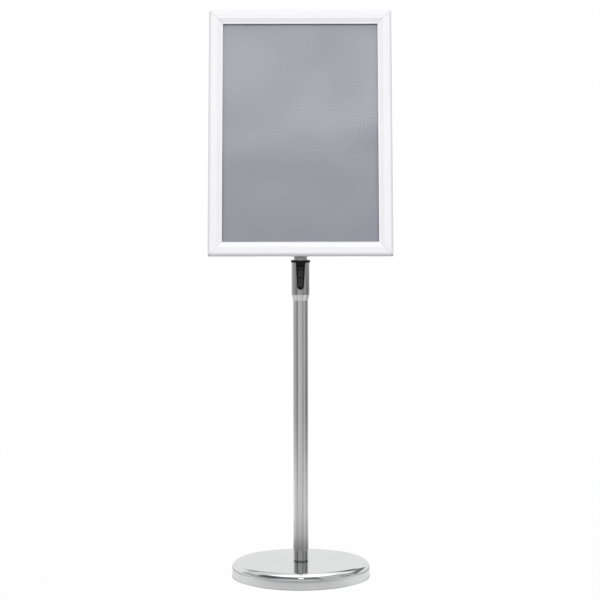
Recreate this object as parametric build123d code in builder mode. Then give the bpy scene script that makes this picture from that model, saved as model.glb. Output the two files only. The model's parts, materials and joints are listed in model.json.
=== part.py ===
from build123d import *
import math
import os

# A3 sign stand: a domed disc base, a telescopic pole with a sliding release, and a
# snap frame on a head that tilts and turns.
# Millimetres. The origin is on the floor under the pole, +Z is up and the sign faces -Y.

# ---- Base ----
base_radius = 125
base_height = 30
rim_rounding = 12
cover_thickness = 1.5
cover_lift = 2
weight_radius = 121
weight_skirt_radius = 112
weight_slab_bottom = 16
weight_rounding = 10
weight_boss_radius = 30
weight_boss_bottom = 11
foot_outer_radius = 120
foot_inner_radius = 112.5
foot_height = 5
foot_rounding = 1
base_bolt_radius = 5
base_bolt_clearance = 0.5
base_bolt_head_across = 17
base_bolt_head_height = 6.4
base_bolt_tip = 50
base_washer_radius = 12
base_washer_thickness = 2

# ---- Outer pole ----
pole_radius = 13.5
pole_wall = 1
pole_swage_bottom = 505.5
collar_bottom = 516
collar_radius = 16
collar_top = 574
foot_plug_height = 22
foot_plug_gap = 0.1

# ---- Height latch ----
ring_radius = 17.5
ring_top = 578
ring_chamfer = 0.5
ring_edge = 0.6
sleeve_bottom = 520
sleeve_gap = 0.05
running_gap = 0.075
tongue_top_width = 17.3
tongue_tip_radius = 6.3
tongue_tip_height = 531.7
tongue_fit = 0.1
pocket_back = 13.1
pocket_front = 16
pocket_bottom = 530.7
pocket_top = 575.5
pocket_width = 10.8
window_bottom = 531.2
window_top = 570.9
window_width = 9.4
slider_face_radius = 18.5
slider_width = 8.8
slider_bottom = 531.5
slider_top = 566.6
slider_flange_width = 10.4
slider_flange_bottom = 531.1
slider_flange_top = 571.2
slider_flange_back = 15
slider_gap = 0.15
slider_hollow = 16.7
slider_corner = 0.8
slider_travel = 4
grip_count = 2
grip_first = 4.1
grip_pitch = 14.6
grip_depth = 1
grip_radius = 1.3
cheek_inner = 3.5
cheek_outer = 4.6
cheek_back = 13.3
cheek_bottom = 542.5
cheek_top = 560.5
spring_seat = 2
shoe_width = 6.4
shoe_bottom = 547
shoe_top = 557.5
shoe_back = 14.9
shoe_gap = 0.25
shoe_travel = 1.2
shoe_contact_gap = 0.1
axle_radius = 0.7
axle_half_length = 4.5
axle_depth = 14.1
axle_height = 551
axle_slot_gap = 0.15
spring_depth = 14.3
spring_coil_radius = 0.9
spring_wire_radius = 0.2
spring_pitch = 1.5
spring_channel_width = 2.8
spring_channel_front = 15.5

# ---- Inner mast ----
mast_radius = 12
mast_wall = 1.2
mast_bottom = 262
mast_top = 776
notch_first = 344
notch_pitch = 30
notch_count = 14
notch_radius = 5
notch_depth = 0.5
glide_flange_height = 4
glide_insert_height = 14
glide_bore = 8
plug_fit = 0.05
plug_bottom = 748
plug_flange_height = 3
rivet_height = 768
rivet_radius = 2
rivet_head_radius = 3.2
rivet_head_height = 0.8
pivot_height = 799
lug_half_width = 8
lug_radius = 10
lug_depth = 18
tilt_bolt_radius = 4

# ---- Tilt head ----
lean_angle = 15
washer_gap = 0.15
yoke_inner = 9.3
yoke_thickness = 3
yoke_radius = 11.5
yoke_disc_radius = 24
yoke_disc_back = 21.5
yoke_disc_front = 25.5
friction_washer_radius = 8.5
bolt_bore_gap = 0.05
hex_across = 13
hex_head_height = 5.3
hex_nut_height = 8
tilt_bolt_tip = 21.5

# ---- Swivel ----
stud_radius = 4
stud_tip = 12.2
stud_head_radius = 7
stud_head_height = 1
swivel_washer_front = 27
swivel_washer_back = 25.7
swivel_washer_radius = 20
steel_washer_front = 21.35
steel_washer_back = 19.9
steel_washer_radius = 9
swivel_nut_back = 13.4

# ---- Snap frame ----
frame_width = 327
frame_height = 450
frame_back = 29
frame_depth = 14
bar_half_length = 158
bar_half_height = 22
bar_thickness = 2
bar_corner = 6
screw_row = 10
screw_pitch = 24
screw_radius = 1.75
screw_hole_radius = 1.8
screw_head_radius = 3.3
screw_head_height = 1.8
screw_tip = 3.5
flange_thickness = 1.2
flange_inner = 24
outer_wall_outer = 0.3
outer_wall_inner = 1.5
outer_wall_top = 3.1
hinge_wall_outer = 5.3
hinge_wall_inner = 6.6
hinge_wall_top = 3.6
rib_outer = 13.5
rib_inner = 14.8
rib_top = 5
bead_u = 3.2
bead_v = 6.6
bead_radius = 1.5
neck_angle = 305
neck_width = 1.2
neck_length = 4.2
base_mitre_gap = 0.05
snap_mitre_gap = 0.2
socket_inner = 1.8
socket_outer = 3.2
socket_start = -22
socket_end = 190
socket_skin_angle = 125
socket_web_angle = 60
relief_start = 136
relief_end = 200
relief_radius = 4
relief_length = 3.6
skin_shoulder = (2.7, 10.75)
skin_edge = (5.2, 11.8)
skin_crest = (15.4, 12.1)
skin_valley = (22.6, 8.8)
lip_inner = 25
lip_bottom = 4.4
lip_thickness = 1.3
crest_rounding = 2.5
valley_rounding = 1.2
lip_rounding = 0.5
mitre_reach = 27
key_outer = 6.9
key_inner = 13.2
key_leg = 36
key_bottom = 1.25
key_top = 3
leaf_length = 50
leaf_width = 5
leaf_row = 7.5
leaf_bottom = 1.35
leaf_rise = 3
leaf_thickness = 0.4
leaf_offset_long = 130
leaf_offset_short = 75
panel_inset = 15.2
panel_thickness = 2
sheet_bottom = 3.4
sheet_thickness = 0.8
sheet_inset = 15.4

# ---- Derived directions ----
lean = math.radians(lean_angle)
facing = Vector(0, -math.cos(lean), math.sin(lean))
up = Vector(0, math.sin(lean), math.cos(lean))
right = Vector(1, 0, 0)
pivot = Vector(0, 0, pivot_height)
head = Plane(origin=pivot, x_dir=right, z_dir=facing)
across = Plane(origin=pivot, x_dir=facing, z_dir=right)

# Each side of the frame: its inward direction, its distance from the middle, its half length
# and how far its leaf springs stand from its middle.
sides = {
    "top": (up * -1, frame_height / 2, frame_width / 2, leaf_offset_short),
    "bottom": (up, frame_height / 2, frame_width / 2, leaf_offset_short),
    "left": (right, frame_width / 2, frame_height / 2, leaf_offset_long),
    "right": (right * -1, frame_width / 2, frame_height / 2, leaf_offset_long),
}


def edge_point(inward, reach):
    """Middle of a side's outer edge, on the frame's back face."""
    return pivot + facing * frame_back - inward * reach


def section_plane(inward, reach):
    """Plane across a rail: x runs inward from the outer edge, y towards the front."""
    return Plane(origin=edge_point(inward, reach), x_dir=inward, z_dir=inward.cross(facing))


def rail_plane(inward, reach):
    """Plane on a rail's back face: x runs along the rail, y inward."""
    return Plane(origin=edge_point(inward, reach), x_dir=inward.cross(facing), z_dir=facing)


def mitre_outline(half_length, gap):
    """Trapezoid that trims a rail to 45 degrees at both ends."""
    over = 1
    return [
        (-half_length + gap - over, -over),
        (half_length - gap + over, -over),
        (half_length - gap - mitre_reach, mitre_reach),
        (-half_length + gap + mitre_reach, mitre_reach),
    ]


def on_bead(radius, angle):
    """Point on a circle round the hinge bead, in a rail's section."""
    turn = math.radians(angle)
    return (bead_u + radius * math.cos(turn), bead_v + radius * math.sin(turn))


os.makedirs("parts", exist_ok=True)

# ---- Base ----
# Pressed dome with a rounded rim, open underneath.
with BuildPart() as base_cover:
    with BuildSketch(Plane.XZ):
        with BuildLine():
            flat_radius = base_radius - rim_rounding
            rim_height = base_height - rim_rounding
            inner_radius = base_radius - cover_thickness
            inner_top = base_height - cover_thickness
            inner_rounding = rim_rounding - cover_thickness
            hole_radius = base_bolt_radius + base_bolt_clearance
            Line((hole_radius, base_height), (flat_radius, base_height))
            CenterArc((flat_radius, rim_height), rim_rounding, 0, 90)
            Polyline(
                (base_radius, rim_height),
                (base_radius, cover_lift),
                (inner_radius, cover_lift),
                (inner_radius, rim_height),
            )
            CenterArc((flat_radius, rim_height), inner_rounding, 0, 90)
            Polyline(
                (flat_radius, inner_top),
                (hole_radius, inner_top),
                (hole_radius, base_height),
            )
        make_face()
    revolve(axis=Axis.Z)
base_cover.part.label = "base_cover"
export_step(base_cover.part, "parts/base_cover.step")

# Cast weight: a slab, a skirt that carries the foot ring and a boss for the bolt.
with BuildPart() as base_weight:
    with BuildSketch(Plane.XZ):
        with BuildLine():
            arc_x = weight_radius - weight_rounding
            arc_z = inner_top - weight_rounding
            Polyline(
                (arc_x, inner_top),
                (hole_radius, inner_top),
                (hole_radius, weight_boss_bottom),
                (weight_boss_radius, weight_boss_bottom),
                (weight_boss_radius, weight_slab_bottom),
                (weight_skirt_radius, weight_slab_bottom),
                (weight_skirt_radius, foot_height),
                (weight_radius, foot_height),
                (weight_radius, arc_z),
            )
            CenterArc((arc_x, arc_z), weight_rounding, 0, 90)
        make_face()
    revolve(axis=Axis.Z)
base_weight.part.label = "base_weight"
export_step(base_weight.part, "parts/base_weight.step")

with BuildPart() as base_foot_ring:
    with BuildSketch(Plane.XZ):
        with Locations(((foot_outer_radius + foot_inner_radius) / 2, foot_height / 2)):
            RectangleRounded(foot_outer_radius - foot_inner_radius, foot_height, foot_rounding)
    revolve(axis=Axis.Z)
base_foot_ring.part.label = "base_foot_ring"
export_step(base_foot_ring.part, "parts/base_foot_ring.step")

with BuildPart() as base_washer:
    with BuildSketch(Plane.XY.offset(weight_boss_bottom - base_washer_thickness)):
        Circle(base_washer_radius)
        Circle(hole_radius, mode=Mode.SUBTRACT)
    extrude(amount=base_washer_thickness)
base_washer.part.label = "base_washer"
export_step(base_washer.part, "parts/base_washer.step")

with BuildPart() as base_bolt:
    head_top = weight_boss_bottom - base_washer_thickness
    with BuildSketch(Plane.XY.offset(head_top)):
        RegularPolygon(base_bolt_head_across / 2, 6, major_radius=False)
    extrude(amount=-base_bolt_head_height)
    with BuildSketch(Plane.XY.offset(head_top)):
        Circle(base_bolt_radius)
    extrude(amount=base_bolt_tip - head_top)
    chamfer(base_bolt.faces().sort_by(Axis.Z)[-1].edges(), length=1)
base_bolt.part.label = "base_bolt"
export_step(base_bolt.part, "parts/base_bolt.step")

# ---- Outer pole ----
with BuildPart() as pole_foot_plug:
    with BuildSketch(Plane.XY.offset(base_height)):
        Circle(pole_radius - pole_wall - foot_plug_gap)
        Circle(base_bolt_radius + foot_plug_gap, mode=Mode.SUBTRACT)
    extrude(amount=foot_plug_height)
pole_foot_plug.part.label = "pole_foot_plug"
export_step(pole_foot_plug.part, "parts/pole_foot_plug.step")


def tongue_outline(margin):
    """Edges of the tapered tongue: a wide top, straight flanks and a round tip."""
    tip = tongue_tip_radius + margin
    half = tongue_top_width / 2 + margin
    return [
        CenterArc((0, tongue_tip_height), tip, 180, 180),
        Polyline(
            (tip, tongue_tip_height),
            (half, collar_top),
            (-half, collar_top),
            (-tip, tongue_tip_height),
        ),
    ]


# Tube swaged out to a collar, with a tapered opening in front for the latch.
with BuildPart() as outer_tube:
    with BuildSketch(Plane.XZ):
        with BuildLine():
            Polyline(
                (pole_radius, base_height),
                (pole_radius, pole_swage_bottom),
                (collar_radius, collar_bottom),
                (collar_radius, collar_top),
                (collar_radius - pole_wall, collar_top),
                (collar_radius - pole_wall, collar_bottom),
                (pole_radius - pole_wall, pole_swage_bottom),
                (pole_radius - pole_wall, base_height),
                close=True,
            )
        make_face()
    revolve(axis=Axis.Z)
    with BuildSketch(Plane.XZ.offset(mast_radius)):
        with BuildLine():
            tongue_outline(0)
        make_face()
    extrude(amount=collar_radius, mode=Mode.SUBTRACT)
outer_tube.part.label = "outer_tube"
export_step(outer_tube.part, "parts/outer_tube.step")

# ---- Height latch ----
# Black sleeve: a flange ring on the collar and a tongue that fills the collar's opening,
# with a pocket for the slider and a window for the brake shoe.
sleeve_bore = mast_radius + running_gap
with BuildPart() as latch_housing:
    with BuildSketch(Plane.XZ.offset(pocket_back)):
        with BuildLine():
            tongue_outline(-tongue_fit)
        make_face()
    extrude(amount=collar_radius)
    with BuildSketch(Plane.XY.offset(pocket_bottom - 2 * tongue_tip_radius)):
        Circle(ring_radius)
    extrude(amount=collar_top, mode=Mode.INTERSECT)
    with BuildSketch(Plane.XZ):
        with BuildLine():
            sleeve_outer = collar_radius - pole_wall - sleeve_gap
            Polyline(
                (sleeve_bore, sleeve_bottom),
                (sleeve_outer, sleeve_bottom),
                (sleeve_outer, collar_top),
                (ring_radius - ring_chamfer, collar_top),
                (ring_radius, collar_top + ring_chamfer),
                (ring_radius, ring_top - ring_edge),
                (ring_radius - ring_edge, ring_top),
                (sleeve_bore, ring_top),
                close=True,
            )
        make_face()
    revolve(axis=Axis.Z)
    with BuildSketch(Plane.XZ.offset(pocket_back)):
        with Locations((0, (pocket_bottom + pocket_top) / 2)):
            Rectangle(pocket_width, pocket_top - pocket_bottom)
    extrude(amount=pocket_front - pocket_back, mode=Mode.SUBTRACT)
    with BuildSketch(Plane.XZ.offset(pocket_front)):
        with Locations((0, (window_bottom + window_top) / 2)):
            RectangleRounded(window_width, window_top - window_bottom, 1)
    extrude(amount=collar_radius, mode=Mode.SUBTRACT)
    with BuildSketch(Plane.XZ.offset(mast_radius / 2)):
        with Locations((0, (shoe_bottom + shoe_top) / 2)):
            Rectangle(shoe_width + 2 * shoe_gap, shoe_top - shoe_bottom + 2 * shoe_gap)
    extrude(amount=pocket_back - mast_radius / 2, mode=Mode.SUBTRACT)
latch_housing.part.label = "latch_housing"
export_step(latch_housing.part, "parts/latch_housing.step")

# Slider: a thumb plate with grip grooves, a flange that keeps it in, and two cheeks whose
# sloping slots draw the brake shoe outwards as the slider goes up. A bar across the cheeks
# seats the return spring.
with BuildPart() as release_slider:
    with BuildSketch(Plane.XZ.offset(slider_flange_back)):
        with Locations((0, (slider_bottom + slider_top) / 2)):
            RectangleRounded(slider_width, slider_top - slider_bottom, slider_corner)
    extrude(amount=collar_radius)
    with BuildSketch(Plane.XY.offset(slider_bottom)):
        Circle(slider_face_radius)
    extrude(amount=slider_top - slider_bottom, mode=Mode.INTERSECT)
    with BuildSketch(Plane.XZ.offset(slider_flange_back)):
        with Locations((0, (slider_flange_bottom + slider_flange_top) / 2)):
            Rectangle(slider_flange_width, slider_flange_top - slider_flange_bottom)
    extrude(amount=pocket_front - slider_gap - slider_flange_back)
    with BuildSketch(Plane.XZ.offset(cheek_back)):
        with Locations((0, (cheek_bottom + cheek_top) / 2)):
            Rectangle(2 * cheek_outer, cheek_top - cheek_bottom)
    extrude(amount=slider_flange_back - cheek_back)
    with BuildSketch(Plane.XZ.offset(cheek_back)):
        with Locations((0, (cheek_bottom + cheek_top - spring_seat) / 2)):
            Rectangle(2 * cheek_inner, cheek_top - spring_seat - cheek_bottom)
    extrude(amount=slider_hollow - cheek_back, mode=Mode.SUBTRACT)
    with BuildSketch(Plane.XZ.offset(cheek_back)):
        with Locations((0, slider_flange_top)):
            Rectangle(spring_channel_width, 2 * (slider_flange_top - cheek_top))
    extrude(amount=spring_channel_front - cheek_back, mode=Mode.SUBTRACT)
    with BuildSketch(Plane.YZ.offset(-slider_flange_width / 2)):
        slot_rise = math.degrees(math.atan2(slider_travel, shoe_travel))
        slot_middle = (-axle_depth - shoe_travel / 2, axle_height - slider_travel / 2)
        with Locations(slot_middle):
            SlotCenterToCenter(
                math.hypot(shoe_travel, slider_travel),
                2 * (axle_radius + axle_slot_gap),
                rotation=slot_rise,
            )
    extrude(amount=slider_flange_width, mode=Mode.SUBTRACT)
    for row in range(grip_count):
        groove_height = slider_top - grip_first - row * grip_pitch
        groove_depth = slider_face_radius - grip_depth + grip_radius
        with BuildSketch(Plane.YZ.offset(-slider_width)):
            with Locations((-groove_depth, groove_height)):
                Circle(grip_radius)
        extrude(amount=2 * slider_width, mode=Mode.SUBTRACT)
release_slider.part.label = "release_slider"
export_step(release_slider.part, "parts/release_slider.step")

# Brake shoe with a hollow face that bears on the mast, and its cross axle.
with BuildPart() as brake_shoe:
    with BuildSketch(Plane.XZ.offset(mast_radius / 2)):
        with Locations((0, (shoe_bottom + shoe_top) / 2)):
            Rectangle(shoe_width, shoe_top - shoe_bottom)
    extrude(amount=shoe_back - mast_radius / 2)
    with BuildSketch(Plane.XY.offset(shoe_bottom)):
        Circle(mast_radius + shoe_contact_gap)
    extrude(amount=shoe_top - shoe_bottom, mode=Mode.SUBTRACT)
    with BuildSketch(Plane.YZ.offset(-axle_half_length)):
        with Locations((-axle_depth, axle_height)):
            Circle(axle_radius)
    extrude(amount=2 * axle_half_length)
brake_shoe.part.label = "brake_shoe"
export_step(brake_shoe.part, "parts/brake_shoe.step")

# Return spring, between the slider's seat and the pocket's roof.
with BuildPart() as release_spring:
    coil_bottom = cheek_top + 2 * spring_wire_radius
    with BuildLine():
        Helix(
            pitch=spring_pitch,
            height=pocket_top - coil_bottom - 2 * spring_wire_radius,
            radius=spring_coil_radius,
            center=(0, -spring_depth, coil_bottom),
        )
    with BuildSketch(Plane(origin=(spring_coil_radius, -spring_depth, coil_bottom), z_dir=(0, 1, 0))):
        Circle(spring_wire_radius)
    sweep(is_frenet=True)
release_spring.part.label = "release_spring"
export_step(release_spring.part, "parts/release_spring.step")

# ---- Inner mast ----
# Telescoping tube with a row of shallow cross notches in front.
with BuildPart() as inner_tube:
    with BuildSketch(Plane.XY.offset(mast_bottom)):
        Circle(mast_radius)
        Circle(mast_radius - mast_wall, mode=Mode.SUBTRACT)
    extrude(amount=mast_top - mast_bottom)
    with BuildSketch(Plane.YZ.offset(-mast_radius)):
        notch_y = -(mast_radius - notch_depth + notch_radius)
        for row in range(notch_count):
            with Locations((notch_y, notch_first + row * notch_pitch)):
                Circle(notch_radius)
    extrude(amount=2 * mast_radius, mode=Mode.SUBTRACT)
    with BuildSketch(Plane.YZ.offset(-mast_radius)):
        with Locations((0, rivet_height)):
            Circle(rivet_radius + plug_fit)
    extrude(amount=2 * mast_radius, mode=Mode.SUBTRACT)
inner_tube.part.label = "inner_tube"
export_step(inner_tube.part, "parts/inner_tube.step")

insert_radius = mast_radius - mast_wall - plug_fit
with BuildPart() as mast_glide:
    with BuildSketch(Plane.XY.offset(mast_bottom - glide_flange_height)):
        Circle(pole_radius - pole_wall - running_gap)
    extrude(amount=glide_flange_height)
    with BuildSketch(Plane.XY.offset(mast_bottom)):
        Circle(insert_radius)
    extrude(amount=glide_insert_height)
    with BuildSketch(Plane.XY.offset(mast_bottom - glide_flange_height)):
        Circle(glide_bore)
    extrude(amount=glide_flange_height + glide_insert_height, mode=Mode.SUBTRACT)
mast_glide.part.label = "mast_glide"
export_step(mast_glide.part, "parts/mast_glide.step")

# Plug in the mast's upper end, with a flange and a bored lug.
with BuildPart() as head_plug:
    with BuildSketch(Plane.XY.offset(plug_bottom)):
        Circle(insert_radius)
    extrude(amount=mast_top - plug_bottom)
    with BuildSketch(Plane.XY.offset(mast_top)):
        Circle(mast_radius)
    extrude(amount=plug_flange_height)
    with BuildSketch(Plane.XY.offset(mast_top + plug_flange_height)):
        Rectangle(2 * lug_half_width, lug_depth)
    extrude(amount=pivot_height - mast_top - plug_flange_height)
    with BuildSketch(Plane.YZ.offset(-lug_half_width)):
        with Locations((0, pivot_height)):
            Circle(lug_radius)
    extrude(amount=2 * lug_half_width)
    with BuildSketch(Plane.YZ.offset(-mast_radius)):
        with Locations((0, pivot_height)):
            Circle(tilt_bolt_radius + running_gap)
        with Locations((0, rivet_height)):
            Circle(rivet_radius + plug_fit)
    extrude(amount=2 * mast_radius, mode=Mode.SUBTRACT)
head_plug.part.label = "head_plug"
export_step(head_plug.part, "parts/head_plug.step")

with BuildPart() as head_rivet:
    with BuildSketch(Plane.YZ.offset(-mast_radius)):
        with Locations((0, rivet_height)):
            Circle(rivet_radius)
    extrude(amount=2 * mast_radius)
    for end in (-1, 1):
        with BuildSketch(Plane.YZ.offset(end * mast_radius)):
            with Locations((0, rivet_height)):
                Circle(rivet_head_radius)
        extrude(amount=end * rivet_head_height, taper=30)
head_rivet.part.label = "head_rivet"
export_step(head_rivet.part, "parts/head_rivet.step")

# ---- Tilt head ----
# Cast yoke: a round face for the frame and two cheeks about the tilt bolt.
with BuildPart() as tilt_yoke:
    with BuildSketch(head.offset(yoke_disc_back)):
        Circle(yoke_disc_radius)
    extrude(amount=yoke_disc_front - yoke_disc_back)
    for end in (-1, 1):
        with BuildSketch(across.offset(end * yoke_inner)):
            Circle(yoke_radius)
            with Locations((yoke_disc_back / 2, 0)):
                Rectangle(yoke_disc_back, 2 * yoke_radius)
        extrude(amount=end * yoke_thickness)
    with BuildSketch(across.offset(-yoke_inner - yoke_thickness)):
        Circle(tilt_bolt_radius + bolt_bore_gap)
    extrude(amount=2 * (yoke_inner + yoke_thickness), mode=Mode.SUBTRACT)
    with BuildSketch(head.offset(yoke_disc_back)):
        Circle(stud_radius + running_gap)
    extrude(amount=yoke_disc_front - yoke_disc_back, mode=Mode.SUBTRACT)
    chamfer(tilt_yoke.faces().sort_by(Axis(head.location))[-1].outer_wire().edges(), length=0.8)
tilt_yoke.part.label = "tilt_yoke"
export_step(tilt_yoke.part, "parts/tilt_yoke.step")

with BuildPart() as tilt_washers:
    for end in (-1, 1):
        with BuildSketch(across.offset(end * (lug_half_width + washer_gap))):
            Circle(friction_washer_radius)
            Circle(tilt_bolt_radius + bolt_bore_gap, mode=Mode.SUBTRACT)
        extrude(amount=end * (yoke_inner - lug_half_width - washer_gap))
tilt_washers.part.label = "tilt_washers"
export_step(tilt_washers.part, "parts/tilt_washers.step")

yoke_outer = yoke_inner + yoke_thickness
with BuildPart() as tilt_bolt:
    with BuildSketch(across.offset(-yoke_outer)):
        RegularPolygon(hex_across / 2, 6, major_radius=False)
    extrude(amount=-hex_head_height)
    with BuildSketch(across.offset(-yoke_outer)):
        Circle(tilt_bolt_radius)
    extrude(amount=yoke_outer + tilt_bolt_tip)
tilt_bolt.part.label = "tilt_bolt"
export_step(tilt_bolt.part, "parts/tilt_bolt.step")

with BuildPart() as tilt_nut:
    with BuildSketch(across.offset(yoke_outer)):
        RegularPolygon(hex_across / 2, 6, major_radius=False)
        Circle(tilt_bolt_radius + bolt_bore_gap, mode=Mode.SUBTRACT)
    extrude(amount=hex_nut_height)
tilt_nut.part.label = "tilt_nut"
export_step(tilt_nut.part, "parts/tilt_nut.step")

# ---- Swivel ----
# Stud clinched in the mounting bar, with the washers and the nut that draw it on the yoke.
with BuildPart() as swivel_stud:
    with BuildSketch(head.offset(frame_back)):
        Circle(stud_head_radius)
    extrude(amount=stud_head_height)
    with BuildSketch(head.offset(stud_tip)):
        Circle(stud_radius)
    extrude(amount=frame_back - stud_tip)
swivel_stud.part.label = "swivel_stud"
export_step(swivel_stud.part, "parts/swivel_stud.step")

with BuildPart() as swivel_friction_washer:
    with BuildSketch(head.offset(swivel_washer_back)):
        Circle(swivel_washer_radius)
        Circle(stud_radius + bolt_bore_gap, mode=Mode.SUBTRACT)
    extrude(amount=swivel_washer_front - swivel_washer_back)
swivel_friction_washer.part.label = "swivel_friction_washer"
export_step(swivel_friction_washer.part, "parts/swivel_friction_washer.step")

with BuildPart() as swivel_steel_washer:
    with BuildSketch(head.offset(steel_washer_back)):
        Circle(steel_washer_radius)
        Circle(stud_radius + bolt_bore_gap, mode=Mode.SUBTRACT)
    extrude(amount=steel_washer_front - steel_washer_back)
swivel_steel_washer.part.label = "swivel_steel_washer"
export_step(swivel_steel_washer.part, "parts/swivel_steel_washer.step")

with BuildPart() as swivel_nut:
    with BuildSketch(head.offset(swivel_nut_back)):
        RegularPolygon(hex_across / 2, 6, major_radius=False)
        Circle(stud_radius + bolt_bore_gap, mode=Mode.SUBTRACT)
    extrude(amount=steel_washer_back - swivel_nut_back)
swivel_nut.part.label = "swivel_nut"
export_step(swivel_nut.part, "parts/swivel_nut.step")

# ---- Frame back ----
screw_x = frame_width / 2 - screw_row
screw_places = [(x, y) for x in (-screw_x, screw_x) for y in (-screw_pitch / 2, screw_pitch / 2)]

with BuildPart() as mounting_bar:
    with BuildSketch(head.offset(frame_back - bar_thickness)):
        RectangleRounded(2 * bar_half_length, 2 * bar_half_height, bar_corner)
        Circle(stud_radius + bolt_bore_gap, mode=Mode.SUBTRACT)
        with Locations(*screw_places):
            Circle(screw_hole_radius, mode=Mode.SUBTRACT)
    extrude(amount=bar_thickness)
mounting_bar.part.label = "mounting_bar"
export_step(mounting_bar.part, "parts/mounting_bar.step")

with BuildPart() as mounting_screws:
    with BuildSketch(head.offset(frame_back - bar_thickness)):
        with Locations(*screw_places):
            Circle(screw_head_radius)
    extrude(amount=-screw_head_height)
    chamfer(
        mounting_screws.faces().group_by(Axis(head.location))[0].edges(), length=0.6
    )
    with BuildSketch(head.offset(frame_back - bar_thickness)):
        with Locations(*screw_places):
            Circle(screw_radius)
    extrude(amount=bar_thickness + screw_tip)
mounting_screws.part.label = "mounting_screws"
export_step(mounting_screws.part, "parts/mounting_screws.step")

# ---- Frame rails ----
for side, (inward, reach, half_length, leaf_offset) in sides.items():
    # Aluminium base profile: flange, low outer wall, hinge bead on a sloping neck, inner rib.
    with BuildPart() as base_rail:
        with BuildSketch(section_plane(inward, reach)):
            with BuildLine():
                Polyline(
                    (outer_wall_outer, 0),
                    (flange_inner, 0),
                    (flange_inner, flange_thickness),
                    (rib_inner, flange_thickness),
                    (rib_inner, rib_top),
                    (rib_outer, rib_top),
                    (rib_outer, flange_thickness),
                    (hinge_wall_inner, flange_thickness),
                    (hinge_wall_inner, hinge_wall_top),
                    (hinge_wall_outer, hinge_wall_top),
                    (hinge_wall_outer, flange_thickness),
                    (outer_wall_inner, flange_thickness),
                    (outer_wall_inner, outer_wall_top),
                    (outer_wall_outer, outer_wall_top),
                    close=True,
                )
            make_face()
            with Locations(on_bead(neck_length / 2, neck_angle)):
                Rectangle(neck_length, neck_width, rotation=neck_angle)
            with Locations((bead_u, bead_v)):
                Circle(bead_radius)
        extrude(amount=half_length, both=True)
        with BuildSketch(rail_plane(inward, reach)):
            with BuildLine():
                Polyline(*mitre_outline(half_length, base_mitre_gap), close=True)
            make_face()
        extrude(amount=frame_depth, mode=Mode.INTERSECT)
        if side in ("left", "right"):
            with BuildSketch(rail_plane(inward, reach)):
                with Locations((-screw_pitch / 2, screw_row), (screw_pitch / 2, screw_row)):
                    Circle(screw_hole_radius)
            extrude(amount=flange_thickness, mode=Mode.SUBTRACT)
    base_rail.part.label = "base_rail_" + side
    export_step(base_rail.part, "parts/base_rail_" + side + ".step")

    # Snap rail: a socket round the bead, a convex skin and a lip over the sheet's edge.
    with BuildPart() as snap_rail:
        with BuildSketch(section_plane(inward, reach)):
            with BuildLine():
                bead = (bead_u, bead_v)
                CenterArc(bead, socket_outer, socket_skin_angle, socket_end - socket_skin_angle)
                ThreePointArc(on_bead(socket_outer, socket_skin_angle), skin_shoulder, skin_edge)
                FilletPolyline(
                    skin_edge,
                    skin_crest,
                    skin_valley,
                    (lip_inner, skin_valley[1]),
                    (lip_inner, lip_bottom),
                    radius=[crest_rounding, valley_rounding, lip_rounding],
                )
                Polyline(
                    (lip_inner, lip_bottom),
                    (lip_inner - lip_thickness, lip_bottom),
                    (lip_inner - lip_thickness, skin_valley[1] - lip_thickness),
                    (skin_valley[0] - lip_thickness / 4, skin_valley[1] - lip_thickness),
                    (skin_crest[0] - lip_thickness / 4, skin_crest[1] - lip_thickness),
                    (skin_edge[0] + lip_thickness / 2, skin_edge[1] - lip_thickness),
                    on_bead(socket_outer, socket_web_angle),
                )
                CenterArc(bead, socket_outer, socket_start, socket_web_angle - socket_start)
                Line(on_bead(socket_outer, socket_start), on_bead(socket_inner, socket_start))
                CenterArc(bead, socket_inner, socket_start, socket_end - socket_start)
                Line(on_bead(socket_inner, socket_end), on_bead(socket_outer, socket_end))
            make_face()
        extrude(amount=half_length, both=True)
        with BuildSketch(rail_plane(inward, reach)):
            with BuildLine():
                Polyline(*mitre_outline(half_length, snap_mitre_gap), close=True)
            make_face()
        extrude(amount=frame_depth, mode=Mode.INTERSECT)
        # The socket's outer arm swings inward as the rail opens, so it stops short of the
        # mitres and neighbouring rails can stand open together.
        for end in (-1, 1):
            with BuildSketch(section_plane(inward, reach).offset(end * (half_length - relief_length))):
                with BuildLine():
                    Polyline(
                        bead,
                        on_bead(relief_radius, relief_start),
                        on_bead(relief_radius, (relief_start + relief_end) / 2),
                        on_bead(relief_radius, relief_end),
                        close=True,
                    )
                make_face()
            extrude(amount=end * 2 * relief_length, mode=Mode.SUBTRACT)
    snap_rail.part.label = "snap_rail_" + side
    export_step(snap_rail.part, "parts/snap_rail_" + side + ".step")

# Angle keys that hold the base profiles together at the corners.
with BuildPart() as corner_keys:
    with BuildSketch(head.offset(frame_back + key_bottom)):
        for way_x in (-1, 1):
            for way_y in (-1, 1):
                far_x = way_x * (frame_width / 2 - key_outer)
                far_y = way_y * (frame_height / 2 - key_outer)
                near_x = way_x * (frame_width / 2 - key_inner)
                near_y = way_y * (frame_height / 2 - key_inner)
                with BuildLine():
                    Polyline(
                        (far_x, far_y),
                        (far_x - way_x * key_leg, far_y),
                        (far_x - way_x * key_leg, near_y),
                        (near_x, near_y),
                        (near_x, far_y - way_y * key_leg),
                        (far_x, far_y - way_y * key_leg),
                        close=True,
                    )
                make_face()
    extrude(amount=key_top - key_bottom)
corner_keys.part.label = "corner_keys"
export_step(corner_keys.part, "parts/corner_keys.step")

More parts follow.
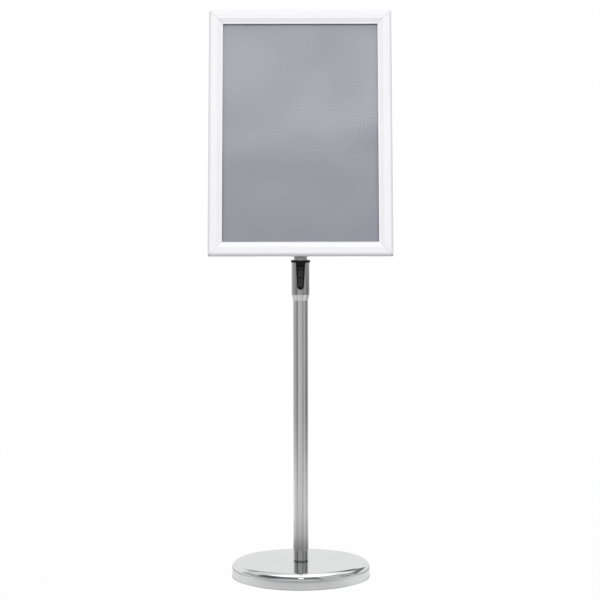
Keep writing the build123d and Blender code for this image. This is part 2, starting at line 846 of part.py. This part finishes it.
# Bowed leaf springs under the snap rails, two on each side.
with BuildPart() as leaf_springs:
    for inward, reach, half_length, leaf_offset in sides.values():
        along = inward.cross(facing)
        for end in (-1, 1):
            middle = edge_point(inward, reach) + inward * leaf_row + along * (end * leaf_offset)
            with BuildSketch(Plane(origin=middle, x_dir=along * -1, z_dir=inward)):
                with BuildLine():
                    half = leaf_length / 2
                    above = leaf_bottom + leaf_thickness
                    ThreePointArc((-half, leaf_bottom), (0, leaf_bottom + leaf_rise), (half, leaf_bottom))
                    Line((half, leaf_bottom), (half, above))
                    ThreePointArc((half, above), (0, above + leaf_rise), (-half, above))
                    Line((-half, above), (-half, leaf_bottom))
                make_face()
            extrude(amount=leaf_width)
leaf_springs.part.label = "leaf_springs"
export_step(leaf_springs.part, "parts/leaf_springs.step")

# Back panel and clear cover sheet.
with BuildPart() as back_panel:
    with BuildSketch(head.offset(frame_back + flange_thickness)):
        Rectangle(frame_width - 2 * panel_inset, frame_height - 2 * panel_inset)
    extrude(amount=panel_thickness)
back_panel.part.label = "back_panel"
export_step(back_panel.part, "parts/back_panel.step")

with BuildPart() as cover_sheet:
    with BuildSketch(head.offset(frame_back + sheet_bottom)):
        Rectangle(frame_width - 2 * sheet_inset, frame_height - 2 * sheet_inset)
    extrude(amount=sheet_thickness)
cover_sheet.part.label = "cover_sheet"
export_step(cover_sheet.part, "parts/cover_sheet.step")
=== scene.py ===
import json
import math

import bpy
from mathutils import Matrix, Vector


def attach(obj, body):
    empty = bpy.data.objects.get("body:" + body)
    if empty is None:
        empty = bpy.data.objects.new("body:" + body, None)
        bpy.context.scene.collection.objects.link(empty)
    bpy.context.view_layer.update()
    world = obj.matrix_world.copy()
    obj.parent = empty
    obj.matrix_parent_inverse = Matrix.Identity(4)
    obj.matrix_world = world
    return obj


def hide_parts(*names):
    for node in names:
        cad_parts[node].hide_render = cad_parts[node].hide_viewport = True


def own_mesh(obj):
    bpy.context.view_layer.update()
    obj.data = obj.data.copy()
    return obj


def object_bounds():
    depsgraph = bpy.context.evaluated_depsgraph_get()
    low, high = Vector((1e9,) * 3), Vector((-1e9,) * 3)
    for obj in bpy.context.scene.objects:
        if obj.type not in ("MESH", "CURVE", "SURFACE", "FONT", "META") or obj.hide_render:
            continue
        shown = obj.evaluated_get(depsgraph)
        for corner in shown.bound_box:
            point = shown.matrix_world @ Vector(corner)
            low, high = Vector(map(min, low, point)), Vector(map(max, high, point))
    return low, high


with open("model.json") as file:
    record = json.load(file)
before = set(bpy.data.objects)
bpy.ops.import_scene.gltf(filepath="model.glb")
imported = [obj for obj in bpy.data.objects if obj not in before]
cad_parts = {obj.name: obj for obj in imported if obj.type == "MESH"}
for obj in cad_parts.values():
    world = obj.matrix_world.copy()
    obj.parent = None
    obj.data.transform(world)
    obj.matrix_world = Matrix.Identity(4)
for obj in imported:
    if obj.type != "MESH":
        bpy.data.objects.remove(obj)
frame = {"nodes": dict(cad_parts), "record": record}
cad_low, cad_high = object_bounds()

LEAN = math.radians(15)
FACING = (0.0, -math.cos(LEAN), math.sin(LEAN))
UP = (0.0, math.sin(LEAN), math.cos(LEAN))
RIGHT = (1.0, 0.0, 0.0)


# ---------------------------------------------------------------- node helpers
class Tree:
    """A material's or world's node tree, with short ways to add and join nodes."""

    def __init__(self, owner):
        owner.use_nodes = True
        self.tree = owner.node_tree
        self.tree.nodes.clear()

    def add(self, kind, inputs=None, **settings):
        node = self.tree.nodes.new(kind)
        for key, value in settings.items():
            setattr(node, key, value)
        for key, value in (inputs or {}).items():
            self.put(node.inputs[key], value)
        return node

    def put(self, socket, value):
        if isinstance(value, bpy.types.NodeSocket):
            self.tree.links.new(value, socket)
        else:
            socket.default_value = value

    def math(self, operation, *values):
        node = self.tree.nodes.new("ShaderNodeMath")
        node.operation = operation
        for socket, value in zip(node.inputs, values):
            self.put(socket, value)
        return node.outputs[0]

    def mix(self, factor, a, b, blend="MIX"):
        node = self.tree.nodes.new("ShaderNodeMix")
        node.data_type = "RGBA"
        node.blend_type = blend
        self.put(node.inputs[0], factor)
        self.put(node.inputs[6], a)
        self.put(node.inputs[7], b)
        return node.outputs[2]

    def remap(self, value, low, high, to_low, to_high, smooth=False):
        node = self.add(
            "ShaderNodeMapRange",
            {0: value, 1: low, 2: high, 3: to_low, 4: to_high},
            interpolation_type="SMOOTHSTEP" if smooth else "LINEAR",
        )
        return node.outputs[0]

    def ramp(self, value, stops):
        """Grey levels by a value from 0 to 1: each stop is a place and a level."""
        node = self.add("ShaderNodeValToRGB", {0: value})
        node.color_ramp.interpolation = "EASE"
        elements = node.color_ramp.elements
        while len(elements) < len(stops):
            elements.new(0.5)
        for element, (place, level) in zip(elements, stops):
            element.position = place
            element.color = (level, level, level, 1)
        return node.outputs[0]

    def place(self):
        return self.add("ShaderNodeTexCoord").outputs["Object"]

    def split(self, vector):
        return self.add("ShaderNodeSeparateXYZ", {0: vector}).outputs

    def dot(self, vector, direction):
        node = self.add("ShaderNodeVectorMath", {0: vector, 1: direction}, operation="DOT_PRODUCT")
        return node.outputs["Value"]

    def along(self, *directions):
        """Object coordinates measured along three directions, each scaled by its length."""
        place = self.place()
        parts = [self.dot(place, direction) for direction in directions]
        return self.add("ShaderNodeCombineXYZ", dict(enumerate(parts))).outputs[0]

    def noise(self, vector, scale, detail, roughness=0.5):
        node = self.add(
            "ShaderNodeTexNoise",
            {"Vector": vector, "Scale": scale, "Detail": detail, "Roughness": roughness},
        )
        return node.outputs["Fac"]

    def bump(self, height, strength, distance, normal=None):
        node = self.add("ShaderNodeBump", {"Height": height, "Strength": strength, "Distance": distance})
        if normal is not None:
            self.put(node.inputs["Normal"], normal)
        return node.outputs["Normal"]


def scaled(direction, factor):
    return tuple(part * factor for part in direction)


def grey(level, tint=(1.0, 1.0, 1.0)):
    return tuple(level * part for part in tint) + (1.0,)


def finish_material(tree, shader):
    tree.add("ShaderNodeOutputMaterial", {"Surface": shader})


# Painted shadow on a coat: how soft its edge is and how dark it is painted.
PAINTED_SHADOW_BLUR = 0.0002
PAINTED_SHADOW_LEVEL = 0.012


def coated(name, low, high, roughness, grain, strength, speck=0.0, painted_shadows=()):
    """Paint or powder coat: a slightly uneven colour, uneven gloss and an orange-peel skin.

    grain and strength are the skin's noise scale and bump, speck is how much light grit shows,
    and the painted-shadow directions each come with a distance past which the coat is painted near-black as
    a shadow.
    """
    made = bpy.data.materials.new(name)
    tree = Tree(made)
    place = tree.place()
    broad = tree.noise(place, scale=7.0, detail=3.0)
    fine = tree.noise(place, scale=grain, detail=2.0)
    colour = tree.mix(tree.remap(broad, 0.35, 0.65, 0.0, 1.0), low, high)
    if speck:
        grit = tree.noise(place, scale=grain * 2.3, detail=1.0)
        colour = tree.mix(tree.remap(grit, 0.62, 0.72, 0.0, speck), colour, grey(0.3))
    # Painted shadow: past each distance the colour is painted near-black.
    for outward, distance in painted_shadows:
        past = tree.dot(place, outward)
        dark = tree.remap(past, distance - PAINTED_SHADOW_BLUR, distance + PAINTED_SHADOW_BLUR, 0.0, 1.0)
        colour = tree.mix(dark, colour, grey(PAINTED_SHADOW_LEVEL))
    handled = tree.noise(place, scale=38.0, detail=3.0)
    gloss = tree.remap(handled, 0.3, 0.7, roughness - 0.04, roughness + 0.05)
    skin = tree.bump(fine, strength, distance=0.0004)
    shader = tree.add("ShaderNodeBsdfPrincipled", {"Base Color": colour, "Roughness": gloss, "Normal": skin})
    finish_material(tree, shader.outputs[0])
    return made


STREAK = 0.3
SHADE_BAND_BLUR = 0.0005


def metal(name, low, high, roughness, grain, strength, shade_bands=()):
    """Metal with a grain: grain holds three scaled directions, the smallest along the grain.

    STREAK is how far the grain changes the roughness. bands are stretches of the height darkened as painted
    shade:
    lowest, highest, and how much of the colour stays.
    """
    made = bpy.data.materials.new(name)
    tree = Tree(made)
    lines = tree.noise(tree.along(*grain), scale=1.0, detail=3.0, roughness=0.6)
    broad = tree.noise(tree.place(), scale=22.0, detail=2.0)
    mixed = tree.math("ADD", tree.math("MULTIPLY", lines, 0.75), tree.math("MULTIPLY", broad, 0.25))
    colour = tree.mix(tree.remap(mixed, 0.35, 0.65, 0.0, 1.0), low, high)
    # Painted shade: the colour is darkened within each band of height.
    for lowest, highest, kept in shade_bands:
        rise = tree.split(tree.place())[2]
        apart = tree.math("ABSOLUTE", tree.math("SUBTRACT", rise, (lowest + highest) / 2))
        half = (highest - lowest) / 2
        in_shade = tree.remap(apart, half - SHADE_BAND_BLUR, half + SHADE_BAND_BLUR, 1.0, 0.0, smooth=True)
        colour = tree.mix(in_shade, colour, grey(kept), "MULTIPLY")
    gloss = tree.remap(lines, 0.3, 0.7, roughness * (1 - STREAK), roughness * (1 + STREAK))
    skin = tree.bump(lines, strength, distance=0.0001)
    shader = tree.add(
        "ShaderNodeBsdfPrincipled",
        {"Base Color": colour, "Metallic": 1.0, "Roughness": gloss, "Normal": skin},
    )
    finish_material(tree, shader.outputs[0])
    return made


def spun_chrome(name):
    """Mirror chrome on a pressed dome: rings from polishing, faint smears, a slow ripple."""
    made = bpy.data.materials.new(name)
    tree = Tree(made)
    place = tree.place()
    across, forward, rise = tree.split(place)
    squares = tree.math("ADD", tree.math("POWER", across, 2.0), tree.math("POWER", forward, 2.0))
    radius = tree.math("SQRT", squares)
    ring_place = tree.add("ShaderNodeCombineXYZ", {0: radius, 1: rise}).outputs[0]
    rings = tree.noise(ring_place, scale=1400.0, detail=2.0)
    smears = tree.noise(place, scale=16.0, detail=4.0, roughness=0.6)
    ripple = tree.noise(place, scale=9.0, detail=1.0)
    colour = tree.mix(tree.remap(smears, 0.35, 0.7, 0.0, 1.0), grey(0.83, (0.99, 1, 1.01)), grey(0.87))
    gloss = tree.remap(smears, 0.4, 0.75, 0.03, 0.07)
    polished = tree.bump(rings, strength=0.03, distance=0.00005)
    skin = tree.bump(ripple, strength=0.05, distance=0.002, normal=polished)
    shader = tree.add(
        "ShaderNodeBsdfPrincipled",
        {"Base Color": colour, "Metallic": 1.0, "Roughness": gloss, "Normal": skin},
    )
    finish_material(tree, shader.outputs[0])
    return made


def clear_sheet(name):
    """Thin clear plastic: what lies behind shows through under a soft reflection.

    Light passes straight through, so the inner side of a face gives no reflection.
    """
    made = bpy.data.materials.new(name)
    tree = Tree(made)
    place = tree.place()
    gloss = tree.remap(tree.noise(place, scale=9.0, detail=3.0), 0.3, 0.7, 0.1, 0.16)
    waves = tree.noise(place, scale=6.0, detail=1.0)
    skin = tree.bump(waves, strength=0.3, distance=0.006)
    clear = tree.add("ShaderNodeBsdfTransparent", {0: (0.97, 0.975, 0.98, 1)}).outputs[0]
    reflection = {"Color": grey(0.95), "Roughness": gloss, "Normal": skin}
    shine = tree.add("ShaderNodeBsdfAnisotropic", reflection).outputs[0]
    fresnel = tree.add("ShaderNodeFresnel", {"IOR": 1.5}).outputs[0]
    outward = tree.math("SUBTRACT", 1.0, tree.add("ShaderNodeNewGeometry").outputs["Backfacing"])
    share = tree.math("MULTIPLY", fresnel, outward)
    mixed = tree.add("ShaderNodeMixShader", {0: share, 1: clear, 2: shine}).outputs[0]
    finish_material(tree, mixed)
    return made


# How deep the painted groove shade fades in, along y.
GROOVE_SHADE_DEPTH = 0.0008


def soft_plastic(name, level, roughness, grain, tint=(1, 1, 1), strength=0.15, specular=0.5, groove_shade_from=None):
    """Moulded plastic or rubber with a fine eroded grain.

    The place along y given last marks where painted shade starts: a surface the set depth or more in front
    of it keeps its colour and gloss, and a surface behind it, down in the grooves, is painted darker as
    shade and is also duller.
    """
    made = bpy.data.materials.new(name)
    tree = Tree(made)
    place = tree.place()
    fine = tree.noise(place, scale=grain, detail=3.0, roughness=0.6)
    broad = tree.noise(place, scale=60.0, detail=2.0)
    colour = tree.mix(broad, grey(level * 0.85, tint), grey(level * 1.15, tint))
    gloss = tree.remap(broad, 0.3, 0.7, roughness - 0.05, roughness + 0.05)
    # Painted shade: surfaces behind the given place along y are painted darker and made duller.
    if groove_shade_from is not None:
        depth = tree.split(place)[1]
        out_of_groove_shade = tree.remap(depth, groove_shade_from, groove_shade_from - GROOVE_SHADE_DEPTH, 0.0, 1.0, smooth=True)
        colour = tree.mix(out_of_groove_shade, grey(level * 0.15), colour)
        gloss = tree.math("ADD", gloss, tree.math("MULTIPLY", tree.math("SUBTRACT", 1.0, out_of_groove_shade), 0.3))
    skin = tree.bump(fine, strength, distance=0.0003)
    shader = tree.add(
        "ShaderNodeBsdfPrincipled",
        {"Base Color": colour, "Roughness": gloss, "Specular IOR Level": specular, "Normal": skin},
    )
    finish_material(tree, shader.outputs[0])
    return made


# ---------------------------------------------------------------- materials
# The sign frame: its middle measured along UP, its height, and how far in its lips reach.
pocket = next(mount for mount in frame["record"]["mounts"] if mount["name"] == "poster_pocket")
FRAME_MIDDLE = Vector(pocket["pos_m"]).dot(Vector(UP))
FRAME_HEIGHT = 0.45
LIP_REACH = 0.025

# The painted shadow of the lips on the panel: a near-black line painted this wide under the top lip and the
# side lips.
TOP_SHADOW = 0.0012
SIDE_SHADOW = 0.0004

# Grain: three directions, each scaled by how fine the noise is along it.
UPRIGHT_GRAIN = (scaled((1, 0, 0), 1500), scaled((0, 1, 0), 1500), scaled((0, 0, 1), 7))
LEVEL_GRAIN = (scaled(RIGHT, 9), scaled(UP, 1600), scaled(FACING, 1600))
RISING_GRAIN = (scaled(RIGHT, 1600), scaled(UP, 9), scaled(FACING, 1600))
EVEN_GRAIN = (scaled(RIGHT, 900), scaled((0, 1, 0), 900), scaled((0, 0, 1), 900))

# Painted shade on the pole: a darker painted shadow at its foot on the base and darker painted shade along
# its collar under the frame: lowest, highest, kept.
POLE_FOOT_SHADOW = (0.02, 0.0322, 0.4)
POLE_COLLAR_SHADE = (0.516, 0.6, 0.72)

# Where painted shade on the slider starts, along y: near the floor of its grooves, behind its face.
GROOVE_SHADE_FROM = -0.0174

chrome = spun_chrome("chrome_dome")
pole = metal(
    "satin_pole",
    grey(0.55),
    grey(0.62),
    roughness=0.12,
    grain=UPRIGHT_GRAIN,
    strength=0.1,
    shade_bands=[POLE_FOOT_SHADOW, POLE_COLLAR_SHADE],
)
# The mast's steel colour is darker than the pole's as painted shade for the frame's shadow over it.
mast = metal("bright_mast_painted_shade", grey(0.32), grey(0.42), 0.05, UPRIGHT_GRAIN, 0.04)
WHITE_TINT = (0.968, 0.964, 1)
white = coated("white_coat", grey(0.93, WHITE_TINT), grey(0.95, WHITE_TINT), 0.34, 950, 0.05)
panel = coated(
    "grey_panel",
    grey(0.332, (0.975, 0.967, 1.1)),
    grey(0.345, (0.975, 0.967, 1.095)),
    roughness=0.5,
    grain=1800,
    strength=0.03,
    # Painted shadow lines along the panel's top and side edges, under the lips.
    painted_shadows=[
        (UP, FRAME_MIDDLE + FRAME_HEIGHT / 2 - LIP_REACH - TOP_SHADOW),
        (RIGHT, cad_high[0] - LIP_REACH - SIDE_SHADOW),
        (scaled(RIGHT, -1), -cad_low[0] - LIP_REACH - SIDE_SHADOW),
    ],
)
sheet = clear_sheet("clear_sheet")
black_coat = coated("black_coat", grey(0.018), grey(0.03), 0.45, 1300, 0.35, speck=0.08)
latch = soft_plastic("latch_black", 0.006, 0.45, 2600, specular=0.22)
slider = soft_plastic("slider_black", 0.036, 0.42, 2600, specular=0.25, groove_shade_from=GROOVE_SHADE_FROM)
nylon = soft_plastic("nylon", 0.72, 0.5, 1500, (1, 0.99, 0.94))
rubber = soft_plastic("rubber", 0.02, 0.75, 900, strength=0.3)
iron = coated("iron_paint", grey(0.03), grey(0.05), 0.6, 260, 0.6)
profile_level = metal("profile_level", grey(0.7), grey(0.78), 0.36, LEVEL_GRAIN, 0.15)
profile_rising = metal("profile_rising", grey(0.7), grey(0.78), 0.36, RISING_GRAIN, 0.15)
zinc = metal("zinc_plate", (0.5, 0.52, 0.55, 1), (0.66, 0.67, 0.68, 1), 0.3, EVEN_GRAIN, 0.1)
spring = metal("spring_steel", grey(0.3), grey(0.38), 0.32, EVEN_GRAIN, 0.08)
brass = metal("brass", (0.7, 0.5, 0.22, 1), (0.8, 0.6, 0.3, 1), 0.28, EVEN_GRAIN, 0.1)

finish_of = {
    "base_cover": chrome,
    "base_weight": iron,
    "base_foot_ring": rubber,
    "outer_tube": pole,
    "latch_housing": latch,
    "release_slider": slider,
    "brake_shoe": brass,
    "release_spring": spring,
    "leaf_springs": spring,
    "inner_tube": mast,
    "mast_glide": nylon,
    "tilt_washers": nylon,
    "swivel_friction_washer": nylon,
    "head_plug": black_coat,
    "tilt_yoke": black_coat,
    "mounting_bar": black_coat,
    "back_panel": panel,
    "cover_sheet": sheet,
    "base_rail_top": profile_level,
    "base_rail_bottom": profile_level,
    "base_rail_left": profile_rising,
    "base_rail_right": profile_rising,
    "snap_rail_top": white,
    "snap_rail_bottom": white,
    "snap_rail_left": white,
    "snap_rail_right": white,
}
for node, shown in frame["nodes"].items():
    shown.data.materials.clear()
    shown.data.materials.append(finish_of.get(node, zinc))

# ---------------------------------------------------------------- return spring
# The spring's own piece: a copy of its mesh that rides on the stand in place of the hidden part.
coil = bpy.data.objects.new("return_spring", frame["nodes"]["release_spring"].data.copy())
bpy.context.collection.objects.link(coil)
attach(coil, "stand")
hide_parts("release_spring")
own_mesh(coil)

# ---------------------------------------------------------------- studio, by angle
# Azimuths run from the camera's side (0) to the right (90) and behind the stand (180).
# Light and dark strips stand all round and streak the upright tubes: azimuth, level.
STRIPS = [
    (-180, 0.82),
    (-125, 0.75),
    (-111, 0.6),
    (-87, 0.58),
    (-68, 0.42),
    (-50, 0.26),
    (-36, 0.72),
    (-18, 0.84),
    (-2, 0.68),
    (13, 0.76),
    (29, 0.42),
    (45, 0.54),
    (62, 0.7),
    (81, 0.38),
    (103, 0.24),
    (130, 0.5),
    (160, 0.8),
    (180, 0.82),
]
DARKEST_STRIP = 0.24
BRIGHTEST_STRIP = 0.84


def by_angle(angle, low, high, stops):
    """Light level by an angle in degrees: each stop is an angle and a level."""
    brightest = max(shade for _, shade in stops)
    place = tree.remap(angle, low, high, 0.0, 1.0)
    shape = tree.ramp(place, [((turn - low) / (high - low), shade / brightest) for turn, shade in stops])
    return tree.math("MULTIPLY", shape, brightest)


def window(angle, middle, half, soft):
    """1 within half of the middle angle, 0 outside, with a soft edge."""
    apart = tree.math("ABSOLUTE", tree.math("WRAP", tree.math("SUBTRACT", angle, middle), 180.0, -180.0))
    return tree.remap(apart, half - soft / 2, half + soft / 2, 1.0, 0.0, smooth=True)


def blend(factor, a, b):
    return tree.math("ADD", a, tree.math("MULTIPLY", factor, tree.math("SUBTRACT", b, a)))


def azimuth_of(sideways, backward):
    return tree.math("DEGREES", tree.math("ARCTAN2", sideways, tree.math("MULTIPLY", backward, -1.0)))


# ---------------------------------------------------------------- floor
# Plain paper that fades out to the bare studio, so no edge or horizon shows. Mirrors see a glow
# painted on it: painted shade, darker close to the base and in front, where the stand and the camera would
# shade it, and further away a painted reflection of the strips.
FLOOR_RADIUS = 3.0
# Distances from the pole over which the paper fades out and the strips come in.
FLOOR_FADE = (0.5, 2.4)
STREAKS_FROM = (0.2, 0.4)
STREAK_RANGE = (0.65, 1.08)
# The painted glow that mirrors see on the paper: part of MIRROR_REACH, level. MIRROR_GAIN scales every
# level.
MIRROR_REACH = 0.8
MIRROR_GAIN = 1.26
MIRROR_LEVELS = [
    (0.155, 0.3),
    (0.172, 0.62),
    (0.225, 0.6),
    (0.265, 0.34),
    (0.35, 0.3),
    (0.55, 0.68),
    (0.95, 0.9),
]
# How far the painted glow is darkened in front, as painted shade.
FRONT_SHADE = 0.78
# How far the paper shines by itself for the camera, and what it gives back to diffuse surfaces.
OWN_GLOW = 0.97
BOUNCE = 0.2
bpy.ops.mesh.primitive_circle_add(vertices=128, radius=FLOOR_RADIUS, fill_type="NGON")
floor = bpy.context.object
floor.name = "floor"
paper = bpy.data.materials.new("pale_floor")
tree = Tree(paper)
spot = tree.place()
reach = tree.add("ShaderNodeVectorMath", {0: spot}, operation="LENGTH").outputs["Value"]
spot_east, spot_north, _ = tree.split(spot)
frontness = tree.math("DIVIDE", tree.math("MULTIPLY", spot_north, -1.0), reach)
away = tree.ramp(tree.math("DIVIDE", reach, MIRROR_REACH), MIRROR_LEVELS)
away = tree.math("MULTIPLY", away, MIRROR_GAIN)
painted_front_shade = tree.remap(frontness, 0.3, 1.0, 1.0, FRONT_SHADE, smooth=True)
painted_reflection = tree.math("MULTIPLY", away, painted_front_shade)
painted_streaks = by_angle(azimuth_of(spot_east, spot_north), -180, 180, STRIPS)
painted_streaks = tree.remap(painted_streaks, DARKEST_STRIP, BRIGHTEST_STRIP, *STREAK_RANGE)
far = tree.remap(reach, *STREAKS_FROM, 0.0, 1.0, smooth=True)
painted_reflection = tree.math("MULTIPLY", painted_reflection, blend(far, 1.0, painted_streaks))
fibres = tree.remap(tree.noise(spot, scale=400.0, detail=3.0), 0.3, 0.7, 0.88, 0.92)
matt = tree.add("ShaderNodeBsdfDiffuse", {"Color": fibres}).outputs[0]
glow = tree.add("ShaderNodeEmission", {"Color": grey(1.0), "Strength": 1.0}).outputs[0]
paper_seen = tree.add("ShaderNodeMixShader", {0: OWN_GLOW, 1: matt, 2: glow}).outputs[0]
# Glossy rays see the painted glow in place of the paper's own reflection.
mirror_seen = tree.add("ShaderNodeEmission", {"Color": grey(1.0), "Strength": painted_reflection}).outputs[0]
bounce = tree.add("ShaderNodeEmission", {"Color": grey(1.0), "Strength": BOUNCE}).outputs[0]
rays = tree.add("ShaderNodeLightPath").outputs
seen = tree.add("ShaderNodeMixShader", {0: rays["Is Glossy Ray"], 1: paper_seen, 2: mirror_seen}).outputs[0]
seen = tree.add("ShaderNodeMixShader", {0: rays["Is Diffuse Ray"], 1: seen, 2: bounce}).outputs[0]
fade = tree.remap(reach, *FLOOR_FADE, 1.0, 0.0, smooth=True)
gone = tree.add("ShaderNodeBsdfTransparent").outputs[0]
finish_material(tree, tree.add("ShaderNodeMixShader", {0: fade, 1: gone, 2: seen}).outputs[0])
floor.data.materials.append(paper)

# ---------------------------------------------------------------- studio light
world = bpy.data.worlds.new("studio")
bpy.context.scene.world = world
tree = Tree(world)
direction = tree.add("ShaderNodeTexCoord").outputs["Generated"]
east, north, height = tree.split(direction)
elevation = tree.math("DEGREES", tree.math("ARCSINE", height))
azimuth = azimuth_of(east, north)

# The studio that mirrors see, by elevation: a bright ceiling over a dim room on the camera's
# side, and a paper sweep behind the stand.
FRONT_LEVELS = [
    (-90, 0.8),
    (-25, 0.9),
    (-5, 0.6),
    (4, 0.45),
    (20, 0.42),
    (25, 0.15),
    (48, 0.15),
    (59, 1.5),
    (90, 1.45),
]
BACK_LEVELS = [
    (-90, 0.7),
    (-2, 0.8),
    (4, 0.82),
    (16, 0.82),
    (26, 0.9),
    (50, 0.96),
    (75, 1.45),
]
front = by_angle(elevation, -90, 90, FRONT_LEVELS)
back = by_angle(elevation, -90, 90, BACK_LEVELS)
level = blend(tree.remap(north, -0.3, 0.3, 1.0, 0.0, smooth=True), back, front)

# Screens and flags round the stand: azimuth, elevation, half width, half height, edge, level.
# The last is a small softbox over the camera, which the clear sheet mirrors.
SCREENS = [
    (-140, 52, 50, 22, 14, 0.74),
    (-150, 44, 24, 6, 6, 0.4),
    (-95, 24, 20, 9, 12, 0.5),
    (-60, 29, 20, 10, 10, 0.08),
    (62, 27, 26, 20, 14, 0.55),
    (90, 28, 16, 7, 8, 0.3),
    (152, 41, 20, 8, 8, 0.15),
    (125, 24, 22, 10, 8, 0.2),
    (0, 31.5, 5, 2, 2.4, 4.6),
]
for turn, rise, half_width, half_height, edge, shade in SCREENS:
    across = window(azimuth, turn, half_width, edge)
    upward = window(elevation, rise, half_height, edge)
    level = blend(tree.math("MULTIPLY", across, upward), level, shade)

# The strips stand below eye level. Above it they are dimmer and only in front, where the pole
# sees them by way of the base's top. Each window is its middle, half width and edge.
LOWER_RISE = (-12, 8.6, 1.5)
UPPER_RISE = (9.5, 5, 3)
UPPER_TURN = (0, 115, 20)
UPPER_STRIPS = 0.62
strips = by_angle(azimuth, -180, 180, STRIPS)
level = blend(window(elevation, *LOWER_RISE), level, strips)
upper = tree.math("MULTIPLY", window(elevation, *UPPER_RISE), window(azimuth, *UPPER_TURN))
level = blend(upper, level, tree.math("MULTIPLY", strips, UPPER_STRIPS))

# Diffuse light: brightest from the camera's side and above, weakest from the sides, and soft
# again from behind. Each is two cosines to LIGHT_FROM and the levels there.
LIGHT_FROM = (0.0, -0.83, 0.558)
FRONT_LIGHT = (-0.15, 1.0, 0.02, 1.5)
BEHIND_LIGHT = (-1.0, -0.35, 1.3, 0.0)
toward = tree.dot(direction, LIGHT_FROM)
from_front = tree.remap(toward, *FRONT_LIGHT)
from_behind = tree.remap(toward, *BEHIND_LIGHT)
ambient = tree.math("ADD", from_front, from_behind)
rays = tree.add("ShaderNodeLightPath").outputs
soft_back = tree.add("ShaderNodeBackground", {"Color": grey(1.0), "Strength": ambient}).outputs[0]
studio_back = tree.add("ShaderNodeBackground", {"Color": grey(1.0), "Strength": level}).outputs[0]
plain_back = tree.add("ShaderNodeBackground", {"Color": grey(1.0), "Strength": 1.0}).outputs[0]
lit = tree.add("ShaderNodeMixShader", {0: rays["Is Glossy Ray"], 1: soft_back, 2: studio_back}).outputs[0]
all_rays = tree.add("ShaderNodeMixShader", {0: rays["Is Camera Ray"], 1: lit, 2: plain_back}).outputs[0]
tree.add("ShaderNodeOutputWorld", {"Surface": all_rays})

# A weak, wide key light from the upper left that mirrors don't see.
KEY_PLACE = Vector((-1.2, -2.2, 3.0))
KEY_AIM = Vector((0, 0, 0.6))
KEY_SIZE = 2.0
KEY_POWER = 2
key_data = bpy.data.lights.new("key", "AREA")
key_data.shape = "DISK"
key_data.size = KEY_SIZE
key_data.energy = KEY_POWER
key = bpy.data.objects.new("key", key_data)
bpy.context.collection.objects.link(key)
key.location = KEY_PLACE
key.rotation_mode = "QUATERNION"
key.rotation_quaternion = (KEY_AIM - KEY_PLACE).to_track_quat("-Z", "Y")
key.visible_glossy = False

# ---------------------------------------------------------------- camera
CAMERA_PLACE = (-0.0006, -3.9, 0.81)
CAMERA_PITCH = 4.458
CAMERA_ROLL = 0.08
CAMERA_LENS = 130.1
SENSOR_WIDTH = 36
camera = bpy.data.objects.new("camera", bpy.data.cameras.new("camera"))
bpy.context.collection.objects.link(camera)
camera.data.sensor_width = SENSOR_WIDTH
camera.data.lens = CAMERA_LENS
camera.location = CAMERA_PLACE
camera.rotation_euler = (math.radians(90 - CAMERA_PITCH), math.radians(CAMERA_ROLL), 0)
bpy.context.scene.camera = camera
bpy.context.scene.view_settings.view_transform = "Standard"
